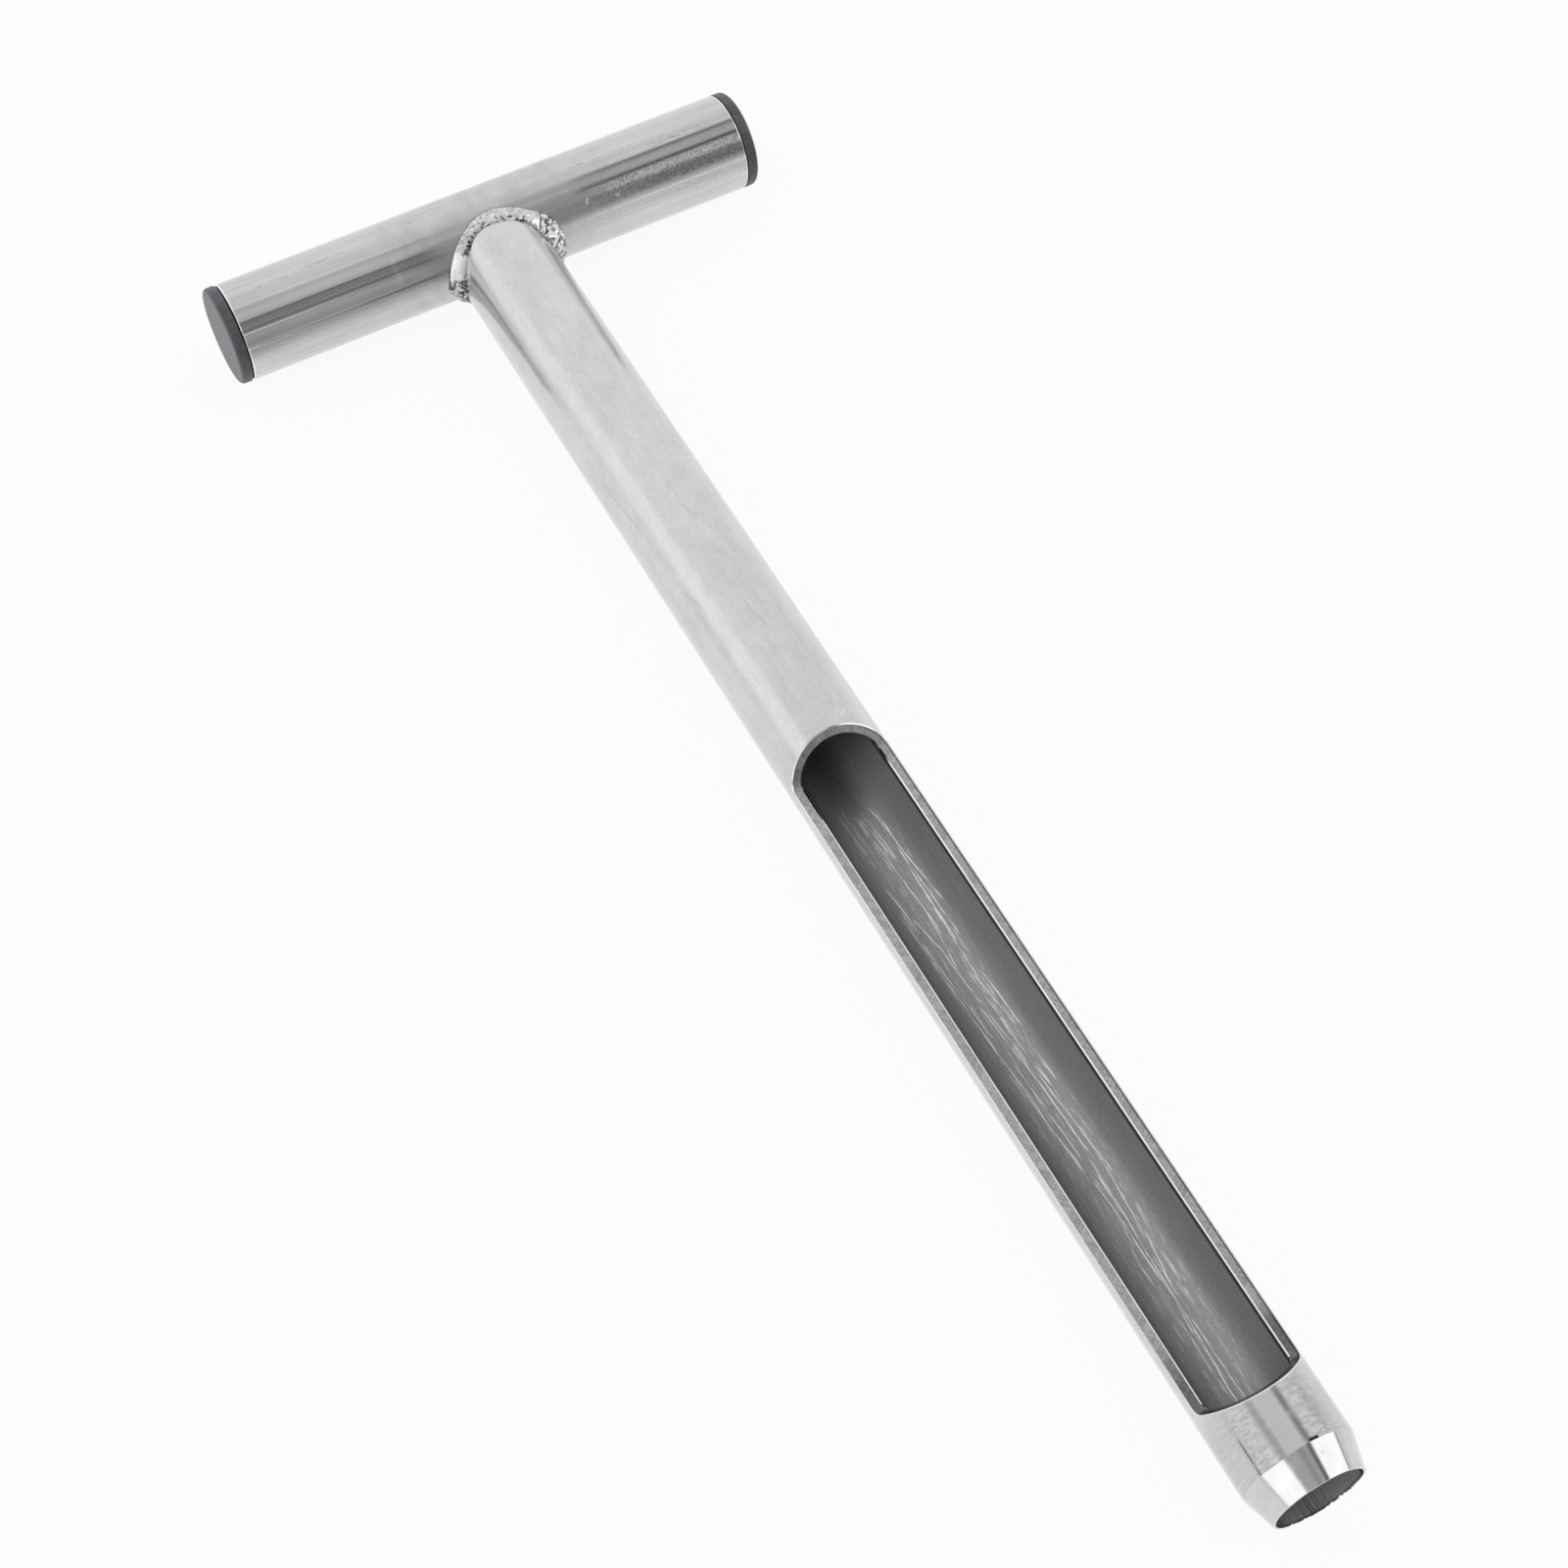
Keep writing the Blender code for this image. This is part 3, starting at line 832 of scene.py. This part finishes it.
# %% [markdown]
# ## Probe tube: rings and rims
#
# The tube's skin is a stack of rings with equally many points, joined by quads. Rings that
# pass the window leave its part open. The wall inside the window is made the same way from
# closed rims, from the outside inwards: broken edge, cut face, broken edge.

# %% Rings round the tube
COPE_RADIUS = TUBE_RADIUS + 0.0013
UPPER_END = -WINDOW_START
LOWER_END = -(PROBE_REACH - WINDOW_TO_LIP)
TURN_BACK = Matrix.Rotation(-WINDOW_TURN, 3, "Y")
STRIP_ROWS = 24
STRIP_START = UPPER_END - FOOT_DEPTH
STRIP_LENGTH = LOWER_END + FOOT_DEPTH - STRIP_START
STRIP_PLACES = [STRIP_START + STRIP_LENGTH * row / STRIP_ROWS for row in range(STRIP_ROWS + 1)]


def columns(radius, spread):
    """The roll of each column of a ring, once round, and its depth or None."""
    half = half_rim(radius, spread)
    last = half[-1][0]
    steps = range(1, BACK_STEPS + 1)
    half += [(last + (math.pi - last) * step / BACK_STEPS, None) for step in steps]
    return half + [(-turn, depth) for turn, depth in reversed(half[1:-1])]


def tube_point(radius, turn, y):
    """A point on a tube of this radius, with the window's turn put back."""
    return TURN_BACK @ Vector((radius * math.sin(turn), y, radius * math.cos(turn)))


def ring(radius, rolls, reach):
    """One ring; reach gives the place along the axis for each roll and depth."""
    return [tube_point(radius, turn, reach(turn, depth)) for turn, depth in rolls]


def coped(radius):
    """The ring at the handle's end, which fits round the handle."""
    return lambda turn, depth: -math.sqrt(COPE_RADIUS**2 - tube_point(radius, turn, 0).z ** 2)


def flat_at(y):
    """A ring square to the axis."""
    return lambda turn, depth: y


def window_end(end, way):
    """The ring along one end of the window; way is 1 or -1, into the window."""
    return lambda turn, depth: end + way * (FOOT_DEPTH if depth is None else depth)


def window_loop(radius, spread):
    """The whole rim of the window as one closed loop of points."""
    half = half_rim(radius, spread)
    foot = half[-1][0]
    right = [(turn, UPPER_END - depth) for turn, depth in half]
    right += [(foot, y) for y in STRIP_PLACES[1:-1]]
    right += [(turn, LOWER_END + depth) for turn, depth in reversed(half)]
    left = [(-turn, y) for turn, y in reversed(right[1:-1])]
    return [tube_point(radius, turn, y) for turn, y in right + left]


print("columns:", len(columns(TUBE_RADIUS, OUTER_BREAK)))

# %% [markdown]
# ## Probe tube: the cutting end
#
# The lower end was ground to a cone that leaves a thin lip, and the bore is drawn in a little
# at the mouth, so that a core slides in easily. A hand held the tube to the wheel: where the
# cone starts and where the lip ends waver by a tenth of a millimetre.

# %% The probe tube
BEVEL_LENGTH = 0.0064
LIP_LAND = 0.00045
MOUTH_RADIUS = BORE_RADIUS - 0.0003
MOUTH_TAPER = 0.008
LIP_RADIUS = MOUTH_RADIUS + LIP_LAND
TOP_STEP = 0.01
RING_STEP = 0.004
PROBE_CREASE = math.radians(12)
OUTSIDE, CUT, BORE, GROUND = range(4)


def waver(turn, size, seed):
    """A small change along the axis that wanders once round."""
    place = Vector((math.sin(turn) * 1.3, math.cos(turn) * 1.3, seed))
    return size * noise.noise(place)


def bevel_start(turn, depth):
    """Where the ground cone starts."""
    return -(PROBE_REACH - BEVEL_LENGTH) + waver(turn, 0.00022, 3)


def lip_end(turn, depth):
    """Where the lip ends: never past the tool's own reach, and torn on the underside."""
    torn = max(0, -math.cos(turn)) * abs(noise.noise(Vector((turn * 9, 5, 2))))
    return -PROBE_REACH + abs(waver(turn, 0.00016, 8)) + 0.0006 * torn


def skin_of(shape, radius, spread, finish, lower_rings):
    """One side of the wall, from the handle past the window to the cutting end."""
    rolls = columns(radius, spread)
    open_part = [depth is not None for turn, depth in rolls]

    def beside_window(i, j):
        return not (open_part[i] and open_part[j])

    upper = [coped(radius), flat_at(-COPE_RADIUS - TOP_STEP), flat_at(UPPER_END + RING_STEP)]
    upper = [ring(radius, rolls, reach) for reach in upper + [window_end(UPPER_END, -1)]]
    beside = [ring(radius, rolls, flat_at(y)) for y in STRIP_PLACES]
    lower = [(radius, window_end(LOWER_END, 1)), *lower_rings]
    lower = [ring(own_radius, rolls, reach) for own_radius, reach in lower]
    for rings, keep in ((upper, None), (beside, beside_window), (lower, None)):
        for first, second in zip(rings, rings[1:]):
            join_rings(shape, first, second, finish, keep)
    return upper[0], lower[-1], rolls


shape = bmesh.new()
outer_rings = ((TUBE_RADIUS, flat_at(LOWER_END - RING_STEP)), (TUBE_RADIUS, bevel_start))
outer_cope, cone_top, rolls = skin_of(shape, TUBE_RADIUS, OUTER_BREAK, OUTSIDE, outer_rings)
inner_rings = ((BORE_RADIUS, flat_at(-(PROBE_REACH - MOUTH_TAPER))), (MOUTH_RADIUS, lip_end))
inner_cope, mouth, _ = skin_of(shape, BORE_RADIUS, INNER_BREAK, BORE, inner_rings)
lip = ring(LIP_RADIUS, rolls, lip_end)
join_rings(shape, cone_top, lip, GROUND)
join_rings(shape, lip, mouth, GROUND)
join_rings(shape, outer_cope, inner_cope, CUT)
loops = [
    window_loop(TUBE_RADIUS, OUTER_BREAK),
    window_loop(TUBE_RADIUS - OUTER_BREAK, 0),
    window_loop(BORE_RADIUS + INNER_LEDGE, 0),
    window_loop(BORE_RADIUS, INNER_BREAK),
]
for first, second, finish in zip(loops, loops[1:], (GROUND, CUT, GROUND)):
    join_rings(shape, first, second, finish)
probe_mesh = mesh_from("probe_tube_steel", shape)
for finish in (SATIN_STEEL, MILLED_STEEL, BORE_STEEL, GROUND_STEEL):
    probe_mesh.materials.append(finish)
probe_mesh.shade_smooth()
probe_mesh.set_sharp_from_angle(angle=PROBE_CREASE)
pieces["probe_tube"] = new_object("probe_tube_steel", probe_mesh)
print("probe faces:", len(probe_mesh.polygons))

# %% [markdown]
# ## Weld bead: the plain sweep
#
# The bead is a fillet once round the joint: a cross-section that leans against both tubes is
# swept along the seam. A hand laid it, so its reach over each tube changes round the joint,
# as the two rows of legs say. The sweep carries three marks for the next step: how far along
# the seam and across the bead a point is, and how freely it may move.

# %% The bead before it is roughened
WELD_PENETRATION = 0.0012
PROBE_LEGS = (
    (-180, 1.8), (-130, 0.8), (-105, 0.4), (-85, 0.5), (-65, 0.6), (-54, 0.25),
    (-37, 0.25), (-29, 0.5), (-11, 1.9), (-1, 2.55), (9, 2.45), (27, 1.3), (35, 0.8),
    (48, 1.25), (57, 1.3), (64, 2.4), (90, 2.6), (120, 2), (180, 1.8),
)
HANDLE_LEGS = (
    (-180, 2.2), (-130, 0.9), (-112, 1.5), (-102, 2.6), (-90, 3), (-60, 2.8),
    (-40, 2.5), (-20, 2.1), (0, 2), (15, 2.2), (25, 2.7), (40, 3.1), (50, 3.7),
    (62, 4.1), (80, 3.6), (105, 3.2), (130, 2.8), (180, 2.8),
)
BEAD_CROWN = 0.0005
BEAD_TOUCH = 0.00003
BEAD_STEPS = 720
CROWN_STEPS = 28
BACK_POINTS = 6


def read_off(legs, angle):
    """A leg in metres at this angle round the seam, smoothed over a few degrees."""
    total = 0
    for nudge in (-4, 0, 4):
        degrees = (math.degrees(angle) + nudge + 180) % 360 - 180
        for (low, first), (high, second) in zip(legs, legs[1:]):
            if low <= degrees <= high:
                total += first + (second - first) * (degrees - low) / (high - low)
                break
    return total / 3 * MM


def beside_handle(radius, angle, distance):
    """The point at a radius and angle about the probe, this far from the handle's axis."""
    x = radius * math.sin(angle)
    z = radius * math.cos(angle)
    return Vector((x, -math.sqrt(distance**2 - z**2), z))


def on_handle(x, turn, distance):
    """The point at x along the handle, turned from straight up towards the probe."""
    return Vector((x, -distance * math.sin(turn), distance * math.cos(turn)))


def handle_toe(angle):
    """Where the bead's outer edge lies on the handle: place along it and turn about it."""
    leg = read_off(HANDLE_LEGS, angle)
    along = TUBE_RADIUS * math.cos(angle)
    seam_depth = math.sqrt(COPE_RADIUS**2 - along**2)
    seam_turn = math.atan2(seam_depth, along)
    around = TUBE_RADIUS**2 * math.sin(angle) / seam_depth
    length = math.hypot(along, around)
    x = TUBE_RADIUS * math.sin(angle) + leg * around / length
    return x, seam_turn - leg * along / length / TUBE_RADIUS


def bead_section(angle):
    """One closed cross-section, as points with their share across and their freedom."""
    outward = Vector((math.sin(angle), 0, math.cos(angle)))
    clear = TUBE_RADIUS + BEAD_TOUCH
    root = TUBE_RADIUS - WELD_PENETRATION
    seam_y = beside_handle(TUBE_RADIUS, angle, COPE_RADIUS).y
    start = Vector((0, seam_y - read_off(PROBE_LEGS, angle), 0)) + outward * clear
    x, turn = handle_toe(angle)
    end = on_handle(x, turn, clear)
    swell = (outward + on_handle(0, turn, 1)).normalized() * BEAD_CROWN
    section = []
    for step in range(CROWN_STEPS + 1):
        share = step / CROWN_STEPS
        arch = 1 - (2 * share - 1) ** 4
        section.append((start.lerp(end, share) + swell * arch, share, arch))
    inner = beside_handle(root, angle, clear)
    inner_turn = math.atan2(-inner.y, inner.z)
    back = []
    for step in range(1, BACK_POINTS):
        share = step / BACK_POINTS
        place = x + (inner.x - x) * share
        back.append(on_handle(place, turn + (inner_turn - turn) * share, clear))
    back += [
        inner,
        beside_handle(root, angle, COPE_RADIUS - BEAD_TOUCH),
        beside_handle(clear, angle, COPE_RADIUS - BEAD_TOUCH),
    ]
    section += [(point, 1 - i / len(back), 0) for i, point in enumerate(back, 1)]
    return section


shape = bmesh.new()
layers = [shape.verts.layers.float.new(mark) for mark in ("along", "across", "free")]
bead_rings = []
for step in range(BEAD_STEPS):
    angle = 2 * math.pi * step / BEAD_STEPS - math.pi
    bead_ring = []
    for point, across, free in bead_section(angle):
        vert = shape.verts.new(point)
        for layer, value in zip(layers, (angle, across, free)):
            vert[layer] = value
        bead_ring.append(vert)
    bead_rings.append(bead_ring)
for first, second in zip(bead_rings, bead_rings[1:] + bead_rings[:1]):
    for i in range(len(first)):
        shape.faces.new((first[i - 1], first[i], second[i], second[i - 1]))
plain_bead = mesh_from("plain_bead", shape)
print("bead points:", len(plain_bead.vertices))

# %% [markdown]
# ## Weld bead: drops, lumps and grain
#
# A weld is laid drop by drop, so scales repeat along the seam, each with a crease behind it.
# Here the right side of the joint is scaled and lumpy, the top is flat and grainy, the left
# shoulder ran smooth, and below it a crack leads to more lumps. Geometry Nodes move the
# bead's points out and in. The heights and the pitch are inputs, and the creases' depth is
# stored for the finish.

# %% The roughened bead as a node tree
BEAD_SIZES = {
    "Scale Height": 0.58 * MM,
    "Scale Pitch": 2.2 * MM,
    "Lump Height": 0.5 * MM,
    "Grain Height": 0.05 * MM,
    "Seam Length": 78 * MM,
    "Top": JOINT.z + TUBE_RADIUS + 0.66 * MM,
    "Seed": 3.0,
    "Finish": WELD_STEEL,
}
tree, size = new_shape_tree("weld_scales", BEAD_SIZES)


def noise_at(spot, scale, detail, seed):
    """Noise at a place in the shape, from -1 to 1."""
    inputs = {"Vector": spot, "Scale": scale, "Detail": detail, "W": seed}
    return made("TexNoise", inputs, noise_dimensions="4D") * 2 - 1


along, across, free = [
    made("GeometryNodeInputNamedAttribute", {"Name": name}, tree=tree, data_type="FLOAT")
    for name in ("along", "across", "free")
]
spot = made("GeometryNodeInputPosition", {}, tree=tree)
along = work_out("DEGREES", along)
wobble = noise_at(spot, 330, 1, size["Seed"])
ragged_along = wobble * 22 + along
right_side = between(along, 44, 158, 8)
left_side = between(ragged_along, -168, -80, 3)
rough_side = greatest(right_side, left_side)
bow = (across - 0.55) ** 2
phase = along / 360 * size["Seam Length"] / size["Scale Pitch"] + bow
phase += wobble * 1.3
drop = abs(work_out("SINE", phase * math.pi))
crack = between(ragged_along, -81, -77, 1.5) * 0.5
lifted = (drop - 0.55) * size["Scale Height"] * rough_side - crack * size["Scale Height"]
lump = noise_at(spot, 480, 1, size["Seed"]) * size["Lump Height"] * (rough_side + 0.15)
grainy = noise_at(spot, 1900, 3, size["Seed"]) * size["Grain Height"]
total = (lifted + lump + grainy) * free**0.5
outwards = made("GeometryNodeInputNormal", {}, tree=tree)
shift = made("VectorMath", {0: outwards, "Scale": total}, operation="SCALE")
x, y, z = parts_of(made("VectorMath", {0: spot, 1: shift}, operation="ADD"))
target = made("CombineXYZ", {0: x, 1: y, 2: work_out("MINIMUM", z, size["Top"])})
moved = made("GeometryNodeSetPosition", {0: size["Geometry"], "Position": target})
# The creases between the drops are stored to be darkened: scale and painted shade.
inside_crease = ease(drop, 0.1, 0.42, 1, 0) * rough_side
dark_lump = ease(noise_at(spot, 700, 2, 9), 0.12, 0.3) * (rough_side * 0.95)
creases = greatest(inside_crease, crack, dark_lump)
inputs = {0: moved, "Name": "crease", "Value": creases}
kept = made("GeometryNodeStoreNamedAttribute", inputs, data_type="FLOAT", domain="POINT")
end_tree(kept, math.radians(50), size["Finish"])
pieces["weld_bead"] = grow("weld_bead_steel", tree, BEAD_SIZES, plain_bead)

# %% [markdown]
# ## End plugs
#
# A plug is a moulded cap: a flat round face with a soft edge, and a hollow shank with fins
# that grip inside the tube. The cap is turned from its half outline. The fins repeat at one
# pitch, so Geometry Nodes place them along the shank.

# %% The cap of a plug
PLUG_EDGE = 0.0009
PLUG_SHANK = 0.012
PLUG_SKIN = 0.0014
FIN_HEIGHT = 0.0008
FIN_THICKNESS = 0.0009
FIN_COUNT = 3
FIN_ROOT = 0.0002
PLUG_STEPS = 160
EDGE_STEPS = 8
INNER_EDGE = 0.0002
CORE_RADIUS = BORE_RADIUS - GAP - FIN_HEIGHT


def plug_outline():
    """Half section: the radius r and the height h out of the tube's end."""
    flat = TUBE_RADIUS - PLUG_EDGE
    outline = [(flat * part, PLUG_REACH) for part in (0, 0.45, 0.8, 0.97)]
    for step in range(EDGE_STEPS + 1):
        bend = QUARTER_TURN * step / EDGE_STEPS
        radius = TUBE_RADIUS - PLUG_EDGE * (1 - math.sin(bend))
        outline.append((radius, PLUG_REACH - PLUG_EDGE * (1 - math.cos(bend))))
    outline += [
        (TUBE_RADIUS, GAP + INNER_EDGE),
        (TUBE_RADIUS - INNER_EDGE, GAP),
        (CORE_RADIUS, GAP),
        (CORE_RADIUS, -PLUG_SHANK),
        (CORE_RADIUS - PLUG_SKIN, -PLUG_SHANK),
        (CORE_RADIUS - PLUG_SKIN, PLUG_REACH - PLUG_SKIN),
        (0, PLUG_REACH - PLUG_SKIN),
    ]
    return outline


def turned_cap(side):
    """The cap in its place on one end of the handle; side is -1 or 1."""
    shape = bmesh.new()
    rows = []
    for step in range(PLUG_STEPS):
        angle = 2 * math.pi * step / PLUG_STEPS
        cos, sin = math.cos(angle), math.sin(angle)
        rows.append([(side * (HANDLE_HALF + h), r * cos, r * sin) for r, h in plug_outline()])
    for first, second in zip(rows, rows[1:] + rows[:1]):
        join_rings(shape, first, second, keep=lambda i, j: i < j)
    return mesh_from("cap", shape)


print("points in a plug's outline:", len(plug_outline()))

# %% The fins of a plug as a node tree, and both plugs
FIN_PITCH = PLUG_SHANK / (FIN_COUNT + 1)


def plug_sizes(side):
    """The tree's inputs for one end of the handle; side is -1 or 1."""
    return {
        "Fin Radius": BORE_RADIUS - GAP,
        "Fin Height": FIN_HEIGHT + FIN_ROOT,
        "Fin Thickness": FIN_THICKNESS,
        "First Fin": JOINT + Vector((side * (HANDLE_HALF - FIN_PITCH), 0, 0)),
        "Fin Step": Vector((-side * FIN_PITCH, 0, 0)),
        "Fin Count": FIN_COUNT,
        "Fin Turn": Vector((0, side * QUARTER_TURN, 0)),
        "Finish": PLUG_PLASTIC,
    }


tree, size = new_shape_tree("plug_with_fins", plug_sizes(1))
inputs = {"Resolution": 96, "Radius": size["Fin Radius"]}
fin_ring = made("GeometryNodeCurvePrimitiveCircle", inputs)
back = size["Fin Height"] * -1
inputs = {
    "Point 1": (0, 0, 0),
    "Point 2": made("CombineXYZ", {0: back}),
    "Point 3": made("CombineXYZ", {0: back, 1: size["Fin Thickness"]}),
    "Point 4": made("CombineXYZ", {0: back, 1: size["Fin Thickness"]}),
}
fin_cut = made("GeometryNodeCurvePrimitiveQuadrilateral", inputs, mode="POINTS")
fin = made("GeometryNodeCurveToMesh", {0: fin_ring, 1: fin_cut})
fin = made("GeometryNodeTransform", {0: fin, "Rotation": size["Fin Turn"]})
inputs = {"Count": size["Fin Count"], "Start Location": size["First Fin"]}
row = made("GeometryNodeMeshLine", {**inputs, "Offset": size["Fin Step"]})
fins = made("GeometryNodeInstanceOnPoints", {"Points": row, "Instance": fin})
whole = made("GeometryNodeJoinGeometry", {0: fins})
tree.links.new(size["Geometry"].socket, whole.socket.node.inputs[0])
end_tree(whole, math.radians(20), size["Finish"])

for node, side in (("left_end_plug", -1), ("right_end_plug", 1)):
    pieces[node] = grow(node + "_plastic", tree, plug_sizes(side), turned_cap(side))

# %% [markdown]
# ## Hand over
#
# Each piece stands for the solid in its place, which is hidden, and rides on the tool's only
# body. The sides of each piece are printed.

# %% Pieces in place of the solids
for node, piece in pieces.items():
    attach(piece, "root")
    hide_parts(node)
    print(node, "sides in mm:", [round(side * 1000, 2) for side in piece.dimensions])
